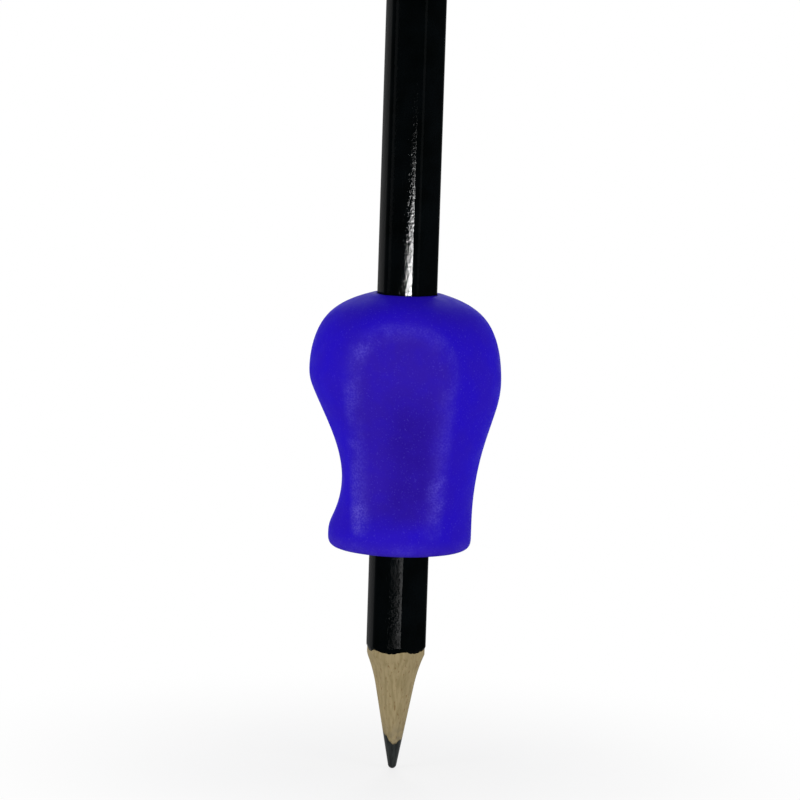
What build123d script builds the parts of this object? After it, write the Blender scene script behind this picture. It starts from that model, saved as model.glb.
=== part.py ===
from build123d import *

import math
import os

# A sharpened wooden pencil carrying a moulded rubber finger grip.
# The pencil stands on its point: the tip is the origin, its axis is +Z, and the front is -Y.
# Bearings are degrees round the axis, 0 at the front and positive towards +X. Lengths are millimetres.

# Barrel: a hexagon with slightly crowned facets, lacquered over two glued slats of wood
pencil_length = 172.0
barrel_across_flats = 7.2
facet_crown = 0.10
corner_radius = 1.3
facet_bearing = -14.0
lacquer_thickness = 0.12
core_diameter = 2.2

# Sharpened point: a long cone that flares where it runs out through the lacquer
tip_radius = 0.55
point_half_angle = 10.4
cone_length = 10.6
flare_radius = 20.0
flare_turn = 13.0

# Grip: where it sits on the barrel, its length and its bore
grip_setback = 28.8
grip_length = 32.8
bore_clearance = 0.05

# Grip: the profile that its body is turned from, whose bulge is a ball with a short straight land
foot_reach = 9.2
foot_round = 1.2
neck_share = 0.68
flank_slope = 17.0
bulge_radius = 12.42
bulge_height = 21.9
land_slope = 4.1
land_length = 1.6
shoulder_turn = 36.0
shoulder_round = 4.5
mouth_reach = 5.3

# Finger pads: reach of their floors from the axis at each height above the foot
pad_overrun = 1.0
pad_start_ridge = 10.0
pad_start_scoop = 11.5
lip_height = 3.1
lip_ridge = 9.0
lip_scoop = 9.5
waist_height = 9.8
waist_ridge = 7.85
waist_scoop = 6.3
waist_side = 10.9
waist_under = 9.0
flank_height = 17.0
flank_ridge = 10.15
flank_scoop = 8.55
flank_side = 12.6
flank_under = 10.6
pad_top_height = 23.3
top_ridge = 12.9
top_scoop = 10.7
top_side = 13.6
top_under = 12.0

# Finger pads: bearing of their mirror plane, and where each part of a section lies to either side of it
mirror_bearing = -63.0
ridge_edge = 14.0
scoop_middle = 62.0
side_start = 105.0
side_middle = 138.0

# Hexagon geometry
FACETS = 6
FACET_ANGLE = 360.0 / FACETS
HALF_FACET = math.radians(FACET_ANGLE / 2)


def at_bearing(radius, bearing):
    """The point at that distance from the axis, on that bearing."""
    angle = math.radians(bearing)
    return Vector(radius * math.sin(angle), -radius * math.cos(angle))


def barrel_outline(growth=0.0):
    """The lacquered barrel's outline, grown or shrunk: six crowned facets with rounded corners."""
    crown_reach = barrel_across_flats / 2
    half_facet = (crown_reach - facet_crown) * math.tan(HALF_FACET)
    crown_radius = (half_facet**2 + facet_crown**2) / (2 * facet_crown)
    crown_centre = crown_reach - crown_radius
    across = crown_centre * math.sin(HALF_FACET)
    corner_reach = crown_centre * math.cos(HALF_FACET) + math.sqrt((crown_radius + growth) ** 2 - across**2)
    facets = []
    for facet in range(FACETS):
        bearing = facet_bearing + facet * FACET_ANGLE
        start = at_bearing(corner_reach, bearing - FACET_ANGLE / 2)
        end = at_bearing(corner_reach, bearing + FACET_ANGLE / 2)
        facets.append(ThreePointArc(start, at_bearing(crown_reach + growth, bearing), end))
    hexagon = make_face(facets)
    return fillet(hexagon.vertices(), corner_radius + growth)


def sharpened_blank():
    """All that a sharpener leaves: a rounded tip, a cone and its flare, then the barrel's full width."""
    half_angle = math.radians(point_half_angle)
    flare_angle = math.radians(point_half_angle + flare_turn)
    tip_turn = math.pi / 2 - half_angle
    tip_mid = tip_radius * Vector(math.sin(tip_turn / 2), 1 - math.cos(tip_turn / 2))
    tip_end = tip_radius * Vector(math.sin(tip_turn), 1 - math.cos(tip_turn))
    up_cone = Vector(math.sin(half_angle), math.cos(half_angle))
    up_flare = Vector(math.sin(flare_angle), math.cos(flare_angle))

    tip = ThreePointArc((0, 0), tip_mid, tip_end)
    cone = Line(tip_end, tip_end + up_cone * cone_length)
    flare = JernArc(cone @ 1, up_cone, flare_radius, -flare_turn)
    run_out = Line(flare @ 1, flare @ 1 + up_flare * barrel_across_flats)
    rim = run_out @ 1
    outside = Polyline(rim, (rim.X, pencil_length), (0, pencil_length), (0, 0))
    profile = make_face([tip, cone, flare, run_out, outside])
    return revolve(Plane.XZ * profile, Axis.Z)


def graphite_core(blank):
    """The writing core, sharpened with the wood."""
    rod = extrude(Circle(core_diameter / 2), pencil_length)
    return rod & blank


def wood_slats(blank):
    """The two slats glued round the core. Their joint runs through the corners at either side."""
    wood_outline = barrel_outline(-lacquer_thickness)
    bored = extrude(wood_outline - Circle(core_diameter / 2), pencil_length)
    casing = bored & blank
    toward_front = at_bearing(1, facet_bearing)
    glue_plane = Plane(origin=(0, 0, 0), z_dir=(toward_front.X, toward_front.Y, 0))
    front = split(casing, glue_plane, keep=Keep.TOP)
    rear = split(casing, glue_plane, keep=Keep.BOTTOM)
    return front, rear


def lacquer_coat(blank):
    """The coat over the barrel. The sharpened cone cuts its lower edge into a scallop on each facet."""
    coat = barrel_outline() - barrel_outline(-lacquer_thickness)
    return extrude(coat, pencil_length) & blank


def turned_body():
    """The grip before its pads are cut: a straight foot, a flank, the bulge, and a cone up to the mouth."""
    slope = math.radians(flank_slope)
    lean = math.radians(land_slope)
    # The land in the ball has the slope at which the pencil lies on a table, resting on the grip and its tail
    lower = CenterArc((0, bulge_height), bulge_radius, -flank_slope, flank_slope + land_slope)
    land = Line(lower @ 1, lower @ 1 + land_length * Vector(-math.sin(lean), math.cos(lean)))
    upper_radius = (land @ 1).X / math.cos(lean)
    upper_height = (land @ 1).Y - upper_radius * math.sin(lean)
    upper = CenterArc((0, upper_height), upper_radius, land_slope, shoulder_turn - land_slope)
    flank_top = lower @ 0
    shoulder = upper @ 1
    flank_length = (flank_top.X - foot_reach) / math.sin(slope)
    foot = Vector(foot_reach, 0)
    neck = Vector(foot_reach, flank_top.Y - flank_length * math.cos(slope))
    # The neck's rounding takes its share of the flank above it or the foot below it, whichever is shorter
    neck_round = neck_share * min(flank_length, neck.Y - foot_round) / math.tan(slope / 2)
    below = Polyline((0, 0), foot, neck, flank_top)
    above = Polyline(shoulder, (mouth_reach, grip_length), (0, grip_length), (0, 0))
    profile = make_face([below, lower, land, upper, above])
    for corner, radius in ((foot, foot_round), (neck, neck_round), (shoulder, shoulder_round)):
        profile = fillet(profile.vertices().sort_by_distance(corner)[0], radius)
    return revolve(Plane.XZ * profile, Axis.Z)


def pad_section(height, ridge, scoop, side, under):
    """One level of the pads: a smooth closed curve at the given reach from the axis on each bearing."""
    half = [(ridge_edge, ridge), (scoop_middle, scoop), (side_start, side), (side_middle, side)]
    other_half = [(360.0 - turn, reach) for turn, reach in reversed(half)]
    stations = [(0.0, ridge)] + half + [(180.0, under)] + other_half
    points = [at_bearing(reach, mirror_bearing + turn) for turn, reach in stations]
    turns = [turn for turn, reach in stations] + [360.0]
    outline = Edge.make_spline(points, periodic=True, parameters=turns)
    return Pos(0, 0, height) * make_face(outline)


def finger_pads():
    """What the fingers leave: two scoops with a ridge between them and a rest underneath."""
    start = [pad_start_ridge, pad_start_scoop, pad_start_scoop, pad_start_scoop]
    lip = [lip_ridge, lip_scoop, lip_scoop, lip_scoop]
    waist = [waist_ridge, waist_scoop, waist_side, waist_under]
    flank = [flank_ridge, flank_scoop, flank_side, flank_under]
    top = [top_ridge, top_scoop, top_side, top_under]
    return loft([
        pad_section(-pad_overrun, *start),
        pad_section(lip_height, *lip),
        pad_section(waist_height, *waist),
        pad_section(flank_height, *flank),
        pad_section(pad_top_height, *top),
        pad_section(grip_length + pad_overrun, *top),
    ])


def finger_grip():
    """The moulded sleeve: finger pads under a domed bulge, round a bore that hugs the barrel."""
    bore = extrude(barrel_outline(bore_clearance), grip_length)
    moulding = (turned_body() & finger_pads()) - bore
    return Pos(0, 0, grip_setback) * moulding


def main():
    blank = sharpened_blank()
    front, rear = wood_slats(blank)
    nodes = {
        "finger_grip": finger_grip(),
        "lacquer_coat": lacquer_coat(blank),
        "front_slat": front,
        "rear_slat": rear,
        "graphite_core": graphite_core(blank),
    }
    os.makedirs("parts", exist_ok=True)
    for name, shape in nodes.items():
        print(f"{name}: {len(shape.solids())} solid, {shape.volume:.1f} mm3, valid {shape.is_valid}")
        export_step(shape, f"parts/{name}.step")


main()
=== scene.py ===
import math

import bpy
import numpy as np
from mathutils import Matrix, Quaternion, Vector, noise
from mathutils.bvhtree import BVHTree


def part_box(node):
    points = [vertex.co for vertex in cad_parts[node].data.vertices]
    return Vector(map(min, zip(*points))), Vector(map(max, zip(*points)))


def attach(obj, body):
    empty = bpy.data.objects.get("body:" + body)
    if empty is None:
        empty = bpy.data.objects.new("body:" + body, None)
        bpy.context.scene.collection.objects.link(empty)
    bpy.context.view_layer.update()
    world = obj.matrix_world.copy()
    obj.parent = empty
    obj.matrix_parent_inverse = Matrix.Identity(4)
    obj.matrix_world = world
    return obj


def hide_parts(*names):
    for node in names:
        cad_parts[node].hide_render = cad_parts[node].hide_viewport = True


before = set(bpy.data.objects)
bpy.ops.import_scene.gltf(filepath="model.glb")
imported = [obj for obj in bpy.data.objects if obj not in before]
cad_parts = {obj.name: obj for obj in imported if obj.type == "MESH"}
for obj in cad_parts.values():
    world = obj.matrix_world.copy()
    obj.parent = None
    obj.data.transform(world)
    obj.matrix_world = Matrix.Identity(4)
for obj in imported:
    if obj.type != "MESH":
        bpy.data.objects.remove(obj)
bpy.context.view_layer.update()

# Lengths are metres. Bearings are degrees round the pencil's axis, from the front, -Y, towards +X.
MM = 0.001

# Barrel, a hexagon, as in the solids
across_flats = 7.2 * MM
facet_crown = 0.10 * MM
corner_radius = 1.3 * MM
facet_bearing = -14.0
half_facet_turn = 30.0
lacquer_thickness = 0.12 * MM
bore_clearance = 0.05 * MM
tail_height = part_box("lacquer_coat")[1].z

# Sharpened point, as in the solids
tip_radius = 0.55 * MM
point_half_angle = math.radians(10.4)
cone_length = 10.6 * MM
flare_radius = 20.0 * MM
core_radius = 1.1 * MM

# The core's border on the cone: it swells at the sides, leans left, and the wood runs over it in two tongues
core_swell = 0.15 * MM
core_lean = 0.08 * MM
core_tongue = 0.18 * MM
core_tongue_sharpness = 4
core_ragged = 0.05 * MM
core_ragged_detail = 3.1

# The lacquer's cut edge: how far it has chipped back, the share of each scallop left, and how ragged it is
chip_back = 0.62 * MM
scallop_share = 0.45
chip_height = 0.16 * MM
chip_detail = 9.0
edge_round = 0.06 * MM

# Grip: rays draw its surface. They fan down from the lip's level and up from the bulge's, by these degrees.
grip_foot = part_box("finger_grip")[0].z
grip_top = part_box("finger_grip")[1].z
lip_level = grip_foot + 3.1 * MM
bulge_level = grip_foot + 23.0 * MM
foot_drop = 25.0
dome_rise = 65.0
ray_length = 60 * MM
mouth_round = 0.22 * MM

# The panel in each finger pad that the dust, painted highlight, dulling and painted shade follow, seen square
# on: straight sides that lean in downwards, under an arch
mirror_bearing = -63.0
scoop_middle = 62.0
panel_offset = 0.3 * MM
panel_foot = 2.6 * MM
panel_foot_half = 5.4 * MM
panel_spring = 22.6 * MM
panel_top_half = 7.3 * MM
panel_rise = 7.3 * MM
panel_squareness = 2.6

# Where the dust and painted highlight, the dulling and the painted shade start and fade, each from one value
# to another: by height above the foot
low_dust_and_highlight_fades = (10 * MM, 20 * MM)
foot_rim_fades = (0.8 * MM, 2.4 * MM)
dust_and_highlight_starts = (1.6 * MM, 4.0 * MM)
dulling_starts = (panel_foot, panel_foot + 4 * MM)
hollow_shade_starts = (3 * MM, 8 * MM)
hollow_shade_fades = (16 * MM, 24 * MM)

# The same by depth inside a panel's border, and by offset towards the ridge
border_starts = (-0.4 * MM, 0.7 * MM)
border_fades = (0.8 * MM, 3.0 * MM)
inside_starts = (-0.6 * MM, 2.2 * MM)
near_ridge_starts = (-3 * MM, 4 * MM)

# How much dust and painted highlight lies along a border, its least share away from the ridge, and what the
# foot's rim gets: dust with painted sheen, and dulling
border_dust_and_highlight = 0.45
far_side_share = 0.6
foot_rim_dust_and_sheen = 0.3
foot_rim_dulling = 0.5

# Where dust and painted highlights lie thickest along a border: height above the foot, and offset towards the
# ridge
dust_and_highlight_spots = ((25.0 * MM, 5.2 * MM), (4.6 * MM, 5.2 * MM), (8.2 * MM, -4.9 * MM))
dust_and_highlight_spot_size = 3.5 * MM
dust_and_highlight_spot_full = 0.3 * dust_and_highlight_spot_size

# Where shade is painted darkest down a pad's hollow middle: its offset towards the ridge, its half width and
# the half width of its middle
hollow_shade_offset = -1.2 * MM
hollow_shade_half = 4.4 * MM
hollow_shade_full = 0.2 * hollow_shade_half

# Mesh density, and how far the next ring of points lies from the lacquer's edges and from the wood's cut
BARREL_COLUMNS = 240
LACQUER_ROWS = 24
WOOD_CONE_ROWS = 48
CORE_CONE_ROWS = 24
CORE_TIP_ROWS = 12
ROD_ROWS = 12
TAIL_ROWS = 8
GRIP_COLUMNS = 216
FOOT_ROWS = 20
WALL_ROWS = 72
DOME_ROWS = 44
BORE_ROWS = 10
edge_gap = 0.4 * MM
cut_gap = 1.0 * MM

# Passes that soften the moulding, and the two rows between which each sets in:
# over all of it, above the foot's edge, and over the dome
ALL_SOFTENING = 6
ALL_SOFTENING_ROWS = (-2, -1)
PAD_SOFTENING = 6
PAD_SOFTENING_ROWS = (8, 16)
DOME_SOFTENING = 60
DOME_SOFTENING_ROWS = (82, 106)

# Camera at the photograph's viewing angle. Lens and sensor are in millimetres, as Blender takes them.
camera_distance = 500.0 * MM
camera_elevation = math.radians(7.0)
camera_roll = math.radians(1.833)
camera_clip = 10 * MM
camera_lens = 176.16
camera_sensor = 36.0
aim_point = Vector((-0.485 * MM, 0.0, 47.919 * MM))

# Light from all round, and the floor: its half width, and where it turns into the white background
ambient_strength = 0.45
floor_half = 4.0
floor_near = 5 * MM
floor_far = 70 * MM
floor_near_white = 0.75


def toward(bearing):
    """Unit vector square to the axis on that bearing."""
    angle = math.radians(bearing)
    return Vector((math.sin(angle), -math.cos(angle), 0.0))


def on_bearing(reach, bearing, height):
    """The point at that distance from the axis, on that bearing and at that height."""
    point = toward(bearing) * reach
    point.z = height
    return point


def all_round(count, start=0.0):
    """Evenly spaced bearings all the way round."""
    return [start + 360 * step / count for step in range(count)]


def steps(start, end, count):
    """Evenly spaced values from start to end, both included."""
    return [start + (end - start) * step / (count - 1) for step in range(count)]


def smooth_step(values, low, high):
    """0 below low, 1 above high, and a smooth rise between them."""
    share = np.clip((values - low) / (high - low), 0.0, 1.0)
    return share * share * (3 - 2 * share)


def barrel_reach(bearing, growth=0.0):
    """Distance from the axis to the barrel's outline: crowned facets whose corners are rounded."""
    half_turn = math.radians(half_facet_turn)
    crown_reach = across_flats / 2
    half_facet = (crown_reach - facet_crown) * math.tan(half_turn)
    crown_radius = (half_facet**2 + facet_crown**2) / (2 * facet_crown)
    crown_centre = crown_reach - crown_radius
    across = crown_centre * math.sin(half_turn)
    corner_centre = crown_centre * math.cos(half_turn)
    corner_centre += math.sqrt((crown_radius - corner_radius) ** 2 - across**2)
    slope = math.atan2(
        corner_centre * math.sin(half_turn),
        corner_centre * math.cos(half_turn) - crown_centre,
    )

    turned = (bearing - facet_bearing + half_facet_turn) % (2 * half_facet_turn)
    off_facet = math.radians(abs(turned - half_facet_turn))
    radius = crown_radius + growth
    corner_start = math.atan2(radius * math.sin(slope), crown_centre + radius * math.cos(slope))
    if off_facet <= corner_start:
        centre, off_centre = crown_centre, off_facet
    else:
        centre, off_centre = corner_centre, half_turn - off_facet
        radius = corner_radius + growth
    return centre * math.cos(off_centre) + math.sqrt(radius**2 - (centre * math.sin(off_centre)) ** 2)


def cut_height(reach):
    """Height at which the sharpened point has that radius: a straight cone, then a flare to the lacquer."""
    foot_reach = tip_radius * math.cos(point_half_angle)
    foot_height = tip_radius * (1 - math.sin(point_half_angle))
    top_reach = foot_reach + cone_length * math.sin(point_half_angle)
    top_height = foot_height + cone_length * math.cos(point_half_angle)
    if reach < top_reach:
        return foot_height + (reach - foot_reach) / math.tan(point_half_angle)
    angle = math.acos(math.cos(point_half_angle) - (reach - top_reach) / flare_radius)
    return top_height + flare_radius * (math.sin(angle) - math.sin(point_half_angle))


def core_reach(bearing):
    """Radius of the core as it lies in the wood, off centre and not quite round."""
    angle = math.radians(bearing)
    tongue = core_tongue * math.cos(angle) ** core_tongue_sharpness
    uneven = core_swell - core_lean * math.sin(angle) - tongue
    return core_radius + uneven + core_ragged * noise.noise(toward(bearing) * core_ragged_detail)


def make_piece(name, points, faces, body, node, material):
    """A smooth closed mesh that stands for a node of the frame and moves with its body."""
    mesh = bpy.data.meshes.new(name)
    mesh.from_pydata([tuple(point) for point in points], [], faces)
    mesh.validate()
    mesh.shade_smooth()
    mesh.materials.append(material)
    piece = bpy.data.objects.new(name, mesh)
    bpy.context.scene.collection.objects.link(piece)
    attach(piece, body)
    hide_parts(node)
    return piece


def sheet_faces(columns, rows, wrap_columns, wrap_rows):
    """Quads over a grid of points kept column by column."""
    faces = []
    for column in range(columns if wrap_columns else columns - 1):
        for row in range(rows if wrap_rows else rows - 1):
            here = column * rows
            there = (column + 1) % columns * rows
            above = (row + 1) % rows
            faces.append((here + row, there + row, there + above, here + above))
    return faces


def feed(tree, socket, value):
    """Sets a socket to a plain value, or links another node's output to it."""
    if isinstance(value, bpy.types.NodeSocket):
        tree.links.new(value, socket)
    else:
        socket.default_value = value


def add_node(tree, kind, **inputs):
    """A shader node. An input is a value or another node's output, and its name has _ for a space."""
    made = tree.nodes.new(kind)
    for name, value in inputs.items():
        feed(tree, made.inputs[name.replace("_", " ")], value)
    return made


def add_math(tree, operation, first, second):
    made = tree.nodes.new("ShaderNodeMath")
    made.operation = operation
    feed(tree, made.inputs[0], first)
    feed(tree, made.inputs[1], second)
    return made.outputs[0]


def add_product(tree, first, second):
    return add_math(tree, "MULTIPLY", first, second)


def add_range(tree, value, low, high, to_low=0.0, to_high=1.0):
    """Maps low..high to to_low..to_high, smoothly and without going past the ends."""
    made = add_node(
        tree, "ShaderNodeMapRange", Value=value, From_Min=low, From_Max=high, To_Min=to_low, To_Max=to_high
    )
    made.interpolation_type = "SMOOTHSTEP"
    return made.outputs["Result"]


def add_mix(tree, factor, first, second):
    """Mixes two colours."""
    made = tree.nodes.new("ShaderNodeMix")
    made.data_type = "RGBA"
    for name, value in (("Factor_Float", factor), ("A_Color", first), ("B_Color", second)):
        feed(tree, next(s for s in made.inputs if s.identifier == name), value)
    return next(s for s in made.outputs if s.identifier == "Result_Color")


def add_noise(tree, scale, detail=2.0, stretch=(1.0, 1.0, 1.0)):
    """Noise in the object's own coordinates. Scale counts its features in a metre."""
    place = tree.nodes.new("ShaderNodeTexCoord").outputs["Object"]
    mapped = add_node(tree, "ShaderNodeMapping", Vector=place, Scale=stretch)
    made = add_node(tree, "ShaderNodeTexNoise", Vector=mapped.outputs[0], Scale=scale, Detail=detail)
    return made.outputs[0]


def add_height(tree):
    """The height of a point in the object's own coordinates."""
    place = tree.nodes.new("ShaderNodeTexCoord").outputs["Object"]
    return add_node(tree, "ShaderNodeSeparateXYZ", Vector=place).outputs["Z"]


def add_grey(tree, value):
    return add_node(tree, "ShaderNodeCombineColor", Red=value, Green=value, Blue=value).outputs[0]


def add_bump(tree, height, depth, strength, before=None):
    """A bump as deep as given. Another bump may come before it."""
    made = add_node(tree, "ShaderNodeBump", Height=height, Distance=depth, Strength=strength)
    if before:
        tree.links.new(before, made.inputs["Normal"])
    return made.outputs[0]


def read_layer(tree, name):
    """A value that the mesh keeps at its points."""
    made = tree.nodes.new("ShaderNodeAttribute")
    made.attribute_name = name
    return made.outputs["Fac"]


def new_material(name):
    """A material, its node tree and its main shader."""
    material = bpy.data.materials.new(name)
    material.use_nodes = True
    tree = material.node_tree
    return material, tree, tree.nodes["Principled BSDF"]


def finish_shader(tree, shader, colour, roughness, normal, specular):
    """Feeds a main shader. Specular levels are low, because a reflection shows the white background."""
    tree.links.new(colour, shader.inputs["Base Color"])
    tree.links.new(roughness, shader.inputs["Roughness"])
    tree.links.new(normal, shader.inputs["Normal"])
    shader.inputs["Specular IOR Level"].default_value = specular


def show(tree, surface):
    """Makes a shader's output the one that the material shows."""
    tree.links.new(surface, tree.nodes["Material Output"].inputs["Surface"])


def srgb(red, green, blue):
    """A colour given by its values on screen, 0 to 255, as the linear values that shaders take."""
    linear = []
    for value in (red, green, blue):
        share = value / 255
        linear.append(((share + 0.055) / 1.055) ** 2.4 if value > 10 else share / 12.92)
    return (*linear, 1.0)


def rubber_colour(tree):
    """Blue-violet, duller and darker inside the pads, with painted shade down their hollows and dust with
    painted highlights along their borders.
    """
    fresh = srgb(36, 16, 186)
    fresh_dull = srgb(40, 20, 178)
    # Darker and duller inside the panels and on the foot's rim
    dulled_colour = srgb(46, 25, 160)
    # Painted shade down the pads' hollow middles
    hollow_shade_colour = srgb(40, 18, 147)
    # Dust, with painted highlights along the pads' borders and painted sheen on the foot's rim
    dust_and_highlight_colour = srgb(90, 78, 198)
    dust_and_highlight_strength = 0.9
    speck_shade = srgb(96, 80, 200)
    speck_strength = 0.2

    mottle = add_range(tree, add_noise(tree, scale=190, detail=3.0), 0.35, 0.65)
    uneven = add_range(tree, add_noise(tree, scale=420, detail=3.0), 0.25, 0.65, 0.65, 1.0)
    grains = add_range(tree, add_noise(tree, scale=4200), 0.36, 0.70, 0.3, 1.0)
    patches = add_range(tree, add_noise(tree, scale=260, detail=3.0), 0.38, 0.60, 0.22, 1.0)
    specks = add_range(tree, add_noise(tree, scale=4600, detail=1.0), 0.62, 0.76)
    dulling = add_product(tree, read_layer(tree, "dulling"), uneven)
    hollow_shade = add_product(tree, read_layer(tree, "hollow_shade"), uneven)
    dust_and_highlight = add_product(tree, read_layer(tree, "dust_and_highlight"), add_product(tree, grains, patches))

    colour = add_mix(tree, mottle, fresh, fresh_dull)
    colour = add_mix(tree, dulling, colour, dulled_colour)
    # Painted shade down the pads' hollows
    colour = add_mix(tree, hollow_shade, colour, hollow_shade_colour)
    # Dust and painted highlights
    colour = add_mix(tree, add_product(tree, dust_and_highlight, dust_and_highlight_strength), colour, dust_and_highlight_colour)
    return add_mix(tree, add_product(tree, specks, speck_strength), colour, speck_shade)


def rubber_material():
    """Matt rubber with a fine skin and a slight swell."""
    material, tree, shader = new_material("grip_rubber")
    roughness = add_range(tree, add_noise(tree, scale=420, detail=3.0), 0.3, 0.7, 0.50, 0.64)
    skin = add_bump(tree, add_noise(tree, scale=3800), depth=0.03 * MM, strength=0.5)
    swell = add_bump(tree, add_noise(tree, scale=420), depth=0.10 * MM, strength=0.4, before=skin)
    finish_shader(tree, shader, rubber_colour(tree), roughness, swell, specular=0.01)
    return material


def lacquer_material():
    """Glossy black lacquer, a little wavy, with fine scratches along the barrel."""
    material, tree, shader = new_material("black_lacquer")
    cloud = add_range(tree, add_noise(tree, scale=240, detail=3.0), 0.3, 0.7)
    colour = add_mix(tree, cloud, srgb(1, 2, 2), srgb(3, 5, 6))
    scratches = add_noise(tree, scale=2400, detail=3.0, stretch=(1.0, 1.0, 0.06))
    roughness = add_range(tree, scratches, 0.55, 0.75, 0.04, 0.10)
    peel = add_bump(tree, add_noise(tree, scale=2600, detail=3.0), depth=0.03 * MM, strength=0.7)
    scored = add_bump(tree, scratches, depth=0.004 * MM, strength=0.5, before=peel)
    finish_shader(tree, shader, colour, roughness, scored, specular=0.004)
    return material


def wood_colour(tree, grain):
    """Grain along the pencil, brown flecks, and graphite smeared low down."""
    dark_grain = srgb(132, 118, 84)
    pale_grain = srgb(150, 135, 101)
    fleck_shade = srgb(112, 84, 50)
    fleck_strength = 0.7
    smear_shade = srgb(92, 88, 78)
    smear_strength = 0.6
    smear_foot = 2.6 * MM
    smear_top = 8.0 * MM

    flecks = add_range(tree, add_noise(tree, scale=4200, stretch=(1.0, 1.0, 0.3)), 0.62, 0.70)
    low = add_range(tree, add_height(tree), smear_foot, smear_top, 1.0, 0.0)
    smear = add_product(tree, low, add_range(tree, add_noise(tree, scale=1300, detail=3.0), 0.3, 0.75))

    colour = add_mix(tree, add_range(tree, grain, 0.30, 0.65), dark_grain, pale_grain)
    colour = add_mix(tree, add_product(tree, flecks, fleck_strength), colour, fleck_shade)
    return add_mix(tree, add_product(tree, smear, smear_strength), colour, smear_shade)


def wood_material():
    """Sharpened wood, with fibres along the pencil and cutting marks round it."""
    material, tree, shader = new_material("pencil_wood")
    grain = add_noise(tree, scale=2600, detail=4.0, stretch=(1.0, 1.0, 0.05))
    cuts = add_noise(tree, scale=3200, detail=1.0, stretch=(0.08, 0.08, 1.0))
    roughness = add_range(tree, grain, 0.3, 0.7, 0.55, 0.75)
    fibres = add_bump(tree, grain, depth=0.03 * MM, strength=0.5)
    marks = add_bump(tree, cuts, depth=0.02 * MM, strength=0.4, before=fibres)
    finish_shader(tree, shader, wood_colour(tree, grain), roughness, marks, specular=0.1)
    return material


def graphite_material():
    """Graphite with a dull metallic sheen, shaved in fine lines."""
    material, tree, shader = new_material("graphite")
    shaved = add_noise(tree, scale=3000, detail=3.0, stretch=(1.0, 1.0, 0.15))
    colour = add_mix(tree, add_range(tree, shaved, 0.3, 0.7), srgb(20, 23, 23), srgb(40, 44, 43))
    roughness = add_range(tree, shaved, 0.3, 0.7, 0.32, 0.5)
    lines = add_bump(tree, shaved, depth=0.03 * MM, strength=0.6)
    finish_shader(tree, shader, colour, roughness, lines, specular=0.12)
    return material


def make_lacquer():
    """The coat: its outside, the cut edge that the sharpener leaves, its inside and the ring at the tail."""
    corner_cut = cut_height(barrel_reach(facet_bearing + half_facet_turn))
    edge = edge_round
    points = []
    for bearing in all_round(BARREL_COLUMNS, facet_bearing):
        outer = barrel_reach(bearing)
        inner = barrel_reach(bearing, -lacquer_thickness)
        chip = chip_height * max(0.0, noise.noise(toward(bearing) * chip_detail))
        outer_foot = corner_cut + scallop_share * (cut_height(outer) - corner_cut) + chip_back + chip
        inner_foot = outer_foot + cut_height(inner) - cut_height(outer)
        wall = steps(outer_foot + edge_gap, tail_height - edge_gap, LACQUER_ROWS)
        column = [(inner, inner_foot), (outer - edge, outer_foot - edge), (outer, outer_foot + edge)]
        column += [(outer, height) for height in wall]
        column += [(outer, tail_height - edge), (outer - edge, tail_height), (inner, tail_height)]
        points += [on_bearing(reach, bearing, height) for reach, height in column]
    rows = len(points) // BARREL_COLUMNS
    faces = sheet_faces(BARREL_COLUMNS, rows, wrap_columns=True, wrap_rows=True)
    make_piece("lacquer", points, faces, "pencil", "lacquer_coat", lacquer_material())


def make_slat(name, node, start_bearing, material):
    """Half of the casing: the sharpened cone, the barrel under the lacquer, the tail's end and the groove."""
    columns = steps(start_bearing, start_bearing + 180, BARREL_COLUMNS // 2 + 1)
    points = []
    for bearing in columns:
        groove = core_reach(bearing)
        outer = barrel_reach(bearing, -lacquer_thickness)
        wall = steps(cut_height(outer) + cut_gap, tail_height, ROD_ROWS)
        groove_wall = steps(tail_height, cut_height(groove), ROD_ROWS)[1:-1]
        column = [(reach, cut_height(reach)) for reach in steps(groove, outer, WOOD_CONE_ROWS)]
        column += [(outer, height) for height in wall]
        column += [(reach, tail_height) for reach in steps(outer, groove, TAIL_ROWS)[1:]]
        column += [(groove, height) for height in groove_wall]
        points += [on_bearing(reach, bearing, height) for reach, height in column]
    rows = len(points) // len(columns)
    faces = sheet_faces(len(columns), rows, wrap_columns=False, wrap_rows=True)
    last = (len(columns) - 1) * rows
    faces.append(tuple(range(rows)))
    faces.append(tuple(reversed(range(last, last + rows))))
    make_piece(name, points, faces, "pencil", node, material)


def make_core():
    """The core: a worn round tip, the cone up to the wood, then the rod inside it as far as the tail."""
    tip_turns = steps(0.0, math.pi / 2 - point_half_angle, CORE_TIP_ROWS)[1:]
    tail_shares = (0.66, 0.33)
    points = []
    for bearing in all_round(BARREL_COLUMNS):
        rod = core_reach(bearing)
        column = [(tip_radius * math.sin(turn), tip_radius * (1 - math.cos(turn))) for turn in tip_turns]
        cone_foot = column[-1][0]
        column += [(reach, cut_height(reach)) for reach in steps(cone_foot, rod, CORE_CONE_ROWS)[1:]]
        column += [(rod, height) for height in steps(cut_height(rod), tail_height, ROD_ROWS)[1:]]
        column += [(rod * share, tail_height) for share in tail_shares]
        points += [on_bearing(reach, bearing, height) for reach, height in column]
    rows = len(points) // BARREL_COLUMNS
    faces = sheet_faces(BARREL_COLUMNS, rows, wrap_columns=True, wrap_rows=False)
    tip = len(points)
    tail = tip + 1
    points += [Vector((0, 0, 0)), Vector((0, 0, tail_height))]
    for column in range(BARREL_COLUMNS):
        here = column * rows
        there = (column + 1) % BARREL_COLUMNS * rows
        faces.append((tip, there, here))
        faces.append((here + rows - 1, there + rows - 1, tail))
    make_piece("core", points, faces, "pencil", "graphite_core", graphite_material())


def soften_columns(points):
    points[:, 1:-1] = (points[:, :-2] + 2 * points[:, 1:-1] + points[:, 2:]) / 4


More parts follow.
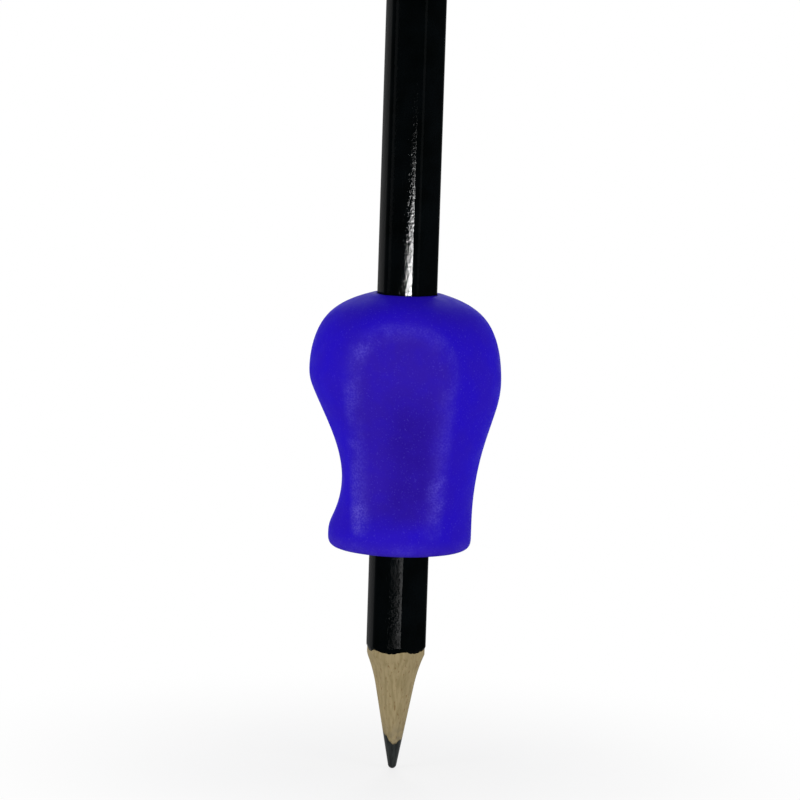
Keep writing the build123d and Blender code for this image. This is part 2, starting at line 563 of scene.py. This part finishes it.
def soften_rows(points):
    points[:] = (np.roll(points, 1, 0) + 2 * points + np.roll(points, -1, 0)) / 4


def softened(points, ways, passes, setting_in):
    """A grid of points smoothed in the given ways. It sets in gradually between two rows."""
    softer = points.copy()
    for step in range(passes):
        for way in ways:
            way(softer)
    share = smooth_step(np.arange(points.shape[1]), *setting_in)
    return points + share[:, None] * (softer - points)


def grip_surface():
    """Points over the moulding's outside, column by column, read off the frame's solid and smoothed."""
    solid = BVHTree.FromObject(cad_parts["finger_grip"], bpy.context.evaluated_depsgraph_get())
    lines = [(lip_level, rise) for rise in steps(-foot_drop, 0.0, FOOT_ROWS)]
    lines += [(height, 0.0) for height in steps(lip_level, bulge_level, WALL_ROWS)[1:]]
    lines += [(bulge_level, rise) for rise in steps(0.0, dome_rise, DOME_ROWS)[1:]]
    surface = np.zeros((GRIP_COLUMNS, len(lines), 3))
    for column, bearing in enumerate(all_round(GRIP_COLUMNS)):
        for row, (height, rise) in enumerate(lines):
            angle = math.radians(rise)
            way = toward(bearing) * math.cos(angle) + Vector((0, 0, math.sin(angle)))
            start = Vector((0, 0, height)) + way * ray_length
            surface[column, row] = solid.ray_cast(start, -way)[0]
    both_ways = (soften_rows, soften_columns)
    surface = softened(surface, both_ways, ALL_SOFTENING, ALL_SOFTENING_ROWS)
    surface = softened(surface, both_ways, PAD_SOFTENING, PAD_SOFTENING_ROWS)
    return softened(surface, (soften_columns,), DOME_SOFTENING, DOME_SOFTENING_ROWS)


def panel_depth(surface, side):
    """How far inside the borders of one pad's panel each point is, and how far it lies towards the ridge."""
    bearing = mirror_bearing + side * scoop_middle
    outward = surface @ np.array(toward(bearing))
    to_ridge = -side * (surface @ np.array(toward(bearing + 90)))
    height = surface[:, :, 2] - grip_foot
    widening = np.clip(height / panel_spring, 0.0, 1.0)
    half = panel_foot_half + (panel_top_half - panel_foot_half) * widening
    across = np.abs(to_ridge - panel_offset) / half
    over_spring = np.maximum(height - panel_spring, 0.0) / panel_rise
    off_middle = (across**panel_squareness + over_spring**panel_squareness) ** (1 / panel_squareness)
    return np.where(outward > 0, half * (1 - off_middle), -np.inf), to_ridge


def dust_and_highlight_amount(height, to_ridge):
    """How much dust and painted highlight a border gets: more near the ridge and low down, and most in the
    spots, where highlights are painted along with the dust.
    """
    near_ridge = smooth_step(to_ridge, *near_ridge_starts)
    low_down = 1 - smooth_step(height, *low_dust_and_highlight_fades)
    amount = border_dust_and_highlight * np.maximum(np.maximum(near_ridge, low_down), far_side_share)
    for spot_height, spot_offset in dust_and_highlight_spots:
        off_spot = np.hypot(height - spot_height, to_ridge - spot_offset)
        amount = np.maximum(amount, 1 - smooth_step(off_spot, dust_and_highlight_spot_full, dust_and_highlight_spot_size))
    return amount * smooth_step(height, *dust_and_highlight_starts)


def colour_layers(surface):
    """Dust with painted highlights along the borders of the pads' panels and painted sheen on the foot's rim,
    dulling inside the panels, and painted shade down the pads' hollows.
    """
    height = surface[:, :, 2] - grip_foot
    foot_rim = 1 - smooth_step(height, *foot_rim_fades)
    hollow_shade_height = smooth_step(height, *hollow_shade_starts) * (1 - smooth_step(height, *hollow_shade_fades))
    dust_and_highlight = foot_rim_dust_and_sheen * foot_rim
    dulling = foot_rim_dulling * foot_rim
    hollow_shade = np.zeros_like(height)
    for side in (1, -1):
        depth, to_ridge = panel_depth(surface, side)
        border = smooth_step(depth, *border_starts) * (1 - smooth_step(depth, *border_fades))
        inside = smooth_step(depth, *inside_starts)
        off_middle = np.abs(to_ridge - hollow_shade_offset)
        hollow_shade_width = 1 - smooth_step(off_middle, hollow_shade_full, hollow_shade_half)
        # Dust with painted highlights on the border, dulling inside the panel, and painted shade down its
        # hollow
        dust_and_highlight = np.maximum(dust_and_highlight, border * dust_and_highlight_amount(height, to_ridge))
        dulling = np.maximum(dulling, inside * smooth_step(height, *dulling_starts))
        hollow_shade = np.maximum(hollow_shade, inside * hollow_shade_height * hollow_shade_width)
    return {"dust_and_highlight": dust_and_highlight, "dulling": dulling, "hollow_shade": hollow_shade}


def mouth_rounding(bore, level, inward):
    """Points from a mouth's flat end round into the bore. Inward is 1 at the foot and -1 at the top."""
    points = []
    for turn in (0, 30, 60, 90):
        angle = math.radians(turn)
        reach = bore + mouth_round * (1 - math.sin(angle))
        points.append((reach, level + inward * mouth_round * (1 - math.cos(angle))))
    return points


def keep_colour_layers(piece, surface, rows):
    """Stores the dust and painted highlight, the dulling and the painted shade at the mesh's points. The bore
    has none.
    """
    for name, layer_values in colour_layers(surface).items():
        values = np.zeros((GRIP_COLUMNS, rows))
        values[:, : layer_values.shape[1]] = layer_values
        layer = piece.data.attributes.new(name, "FLOAT", "POINT")
        layer.data.foreach_set("value", values.ravel())


def make_grip():
    """The moulding: its outside, then in over the top mouth, down the bore and out again at the foot."""
    surface = grip_surface()
    bore_heights = steps(grip_top - mouth_round, grip_foot + mouth_round, BORE_ROWS)[1:-1]
    points = []
    for column, bearing in enumerate(all_round(GRIP_COLUMNS)):
        bore = barrel_reach(bearing, bore_clearance)
        inside = mouth_rounding(bore, grip_top, -1)
        inside += [(bore, height) for height in bore_heights]
        inside += reversed(mouth_rounding(bore, grip_foot, 1))
        points += [Vector(point) for point in surface[column]]
        points += [on_bearing(reach, bearing, height) for reach, height in inside]
    rows = len(points) // GRIP_COLUMNS
    faces = sheet_faces(GRIP_COLUMNS, rows, wrap_columns=True, wrap_rows=True)
    piece = make_piece("grip", points, faces, "grip", "finger_grip", rubber_material())
    keep_colour_layers(piece, surface, rows)


def make_camera():
    data = bpy.data.cameras.new("camera")
    data.lens = camera_lens
    data.sensor_width = camera_sensor
    data.clip_start = camera_clip
    camera = bpy.data.objects.new("camera", data)
    bpy.context.scene.collection.objects.link(camera)
    back = Vector((0, -math.cos(camera_elevation), math.sin(camera_elevation)))
    camera.location = aim_point + back * camera_distance
    level = (-back).to_track_quat("-Z", "Y")
    camera.rotation_mode = "QUATERNION"
    camera.rotation_quaternion = level @ Quaternion((0, 0, 1), camera_roll)
    bpy.context.scene.camera = camera


def shown_ray(tree):
    """1 for rays that show the background: from the camera, in a reflection or through glass."""
    path = tree.nodes.new("ShaderNodeLightPath").outputs
    seen = add_math(tree, "MAXIMUM", path["Is Camera Ray"], path["Is Glossy Ray"])
    return add_math(tree, "MAXIMUM", seen, path["Is Transmission Ray"])


def make_world():
    """White where it shows, and a plain even light on the object."""
    world = bpy.data.worlds.new("studio")
    bpy.context.scene.world = world
    world.use_nodes = True
    tree = world.node_tree
    background = tree.nodes["Background"]
    background.inputs["Color"].default_value = (1, 1, 1, 1)
    strength = add_range(tree, shown_ray(tree), 0.0, 1.0, ambient_strength, 1.0)
    tree.links.new(strength, background.inputs["Strength"])


def floor_material():
    """Pale grey that takes the shadow near the tip, and turns into the white background further out."""
    material, tree, shader = new_material("pale_floor")
    shade = add_range(tree, add_noise(tree, scale=30), 0.3, 0.7, 0.86, 0.90)
    tree.links.new(add_grey(tree, shade), shader.inputs["Base Color"])
    shader.inputs["Roughness"].default_value = 0.9
    shader.inputs["Specular IOR Level"].default_value = 0.0

    place = tree.nodes.new("ShaderNodeTexCoord").outputs["Object"]
    away = tree.nodes.new("ShaderNodeVectorMath")
    away.operation = "LENGTH"
    tree.links.new(place, away.inputs[0])
    far = add_range(tree, away.outputs["Value"], floor_near, floor_far, floor_near_white, 1.0)
    white = add_node(tree, "ShaderNodeEmission", Color=(1, 1, 1, 1), Strength=1.0)
    both = add_node(tree, "ShaderNodeMixShader", Fac=add_product(tree, far, shown_ray(tree)))
    tree.links.new(shader.outputs[0], both.inputs[1])
    tree.links.new(white.outputs[0], both.inputs[2])
    show(tree, both.outputs[0])
    return material


def stage_sheet(name, corners, material):
    """A single face of the stage, which is no piece of the part."""
    mesh = bpy.data.meshes.new(name)
    mesh.from_pydata(corners, [], [(0, 1, 2, 3)])
    mesh.materials.append(material)
    sheet = bpy.data.objects.new(name, mesh)
    bpy.context.scene.collection.objects.link(sheet)
    return sheet


def make_floor():
    """A pale floor under the tip."""
    half = floor_half
    corners = [(-half, -half, 0), (half, -half, 0), (half, half, 0), (-half, half, 0)]
    stage_sheet("floor", corners, floor_material())


def make_lamp(name, bearing, distance, height, aim_height, width, tall, watts):
    """A soft rectangular lamp on a bearing, turned to the pencil. The camera doesn't see it."""
    data = bpy.data.lights.new(name, "AREA")
    data.shape = "RECTANGLE"
    data.size = width
    data.size_y = tall
    data.energy = watts
    lamp = bpy.data.objects.new(name, data)
    lamp.location = on_bearing(distance, bearing, height)
    to_pencil = Vector((0, 0, aim_height)) - lamp.location
    lamp.rotation_mode = "QUATERNION"
    lamp.rotation_quaternion = to_pencil.to_track_quat("-Z", "Y")
    lamp.visible_camera = False
    bpy.context.scene.collection.objects.link(lamp)


def strip_material(name, low, high, strength, fading):
    """A glow that fades upwards by a power, or is even where that power is 0."""
    material, tree = new_material(name)[:2]
    fade = add_math(tree, "POWER", add_range(tree, add_height(tree), low, high, 1.0, 0.0), fading)
    glow = add_node(tree, "ShaderNodeEmission", Color=add_grey(tree, fade), Strength=strength)
    show(tree, glow.outputs[0])
    return material


def make_strip(name, distance, low, high, right, left_low, left_high, strength, fading):
    """A strip light that only the lacquer mirrors. Its left border may lean in."""
    outline = [(left_low, low), (right, low), (right, high), (left_high, high)]
    corners = [on_bearing(distance, bearing, height) for bearing, height in outline]
    strip = stage_sheet(name, corners, strip_material(name, low, high, strength, fading))
    strip.visible_camera = False
    strip.visible_diffuse = False
    strip.visible_shadow = False
    mirror = bpy.data.collections.new(name)
    mirror.objects.link(bpy.data.objects["lacquer"])
    strip.light_linking.receiver_collection = mirror


def make_lamps():
    """Two soft lamps in front, one behind, and strips for the lacquer's streaks above and below the grip."""
    side_lamp = {"distance": 0.6, "height": 0.10, "aim_height": 0.05, "width": 0.30, "tall": 0.20}
    make_lamp("left", bearing=-52, watts=1.8, **side_lamp)
    make_lamp("right", bearing=52, watts=1.6, **side_lamp)
    back_lamp = {"distance": 0.7, "height": 0.40, "aim_height": 0.06, "width": 0.40, "tall": 0.40}
    make_lamp("back", bearing=180, watts=2.0, **back_lamp)
    streak = {"distance": 100 * MM, "low": 46 * MM, "high": 90 * MM, "fading": 3.5}
    make_strip("streak", right=-13, left_low=-22.5, left_high=-16, strength=6200.0, **streak)
    low_streak = {"distance": 60 * MM, "low": 2 * MM, "high": 30 * MM, "fading": 0.0}
    make_strip("low_streak", right=-12, left_low=-20, left_high=-20, strength=136.0, **low_streak)
    make_strip("low_streak_left", right=-24, left_low=-24.5, left_high=-24.5, strength=186.0, **low_streak)


make_lacquer()
bare_wood = wood_material()
make_slat("front_wood", "front_slat", facet_bearing - 90, bare_wood)
make_slat("rear_wood", "rear_slat", facet_bearing + 90, bare_wood)
make_core()
make_grip()
make_camera()
make_world()
make_floor()
make_lamps()
bpy.context.scene.view_settings.view_transform = "Standard"
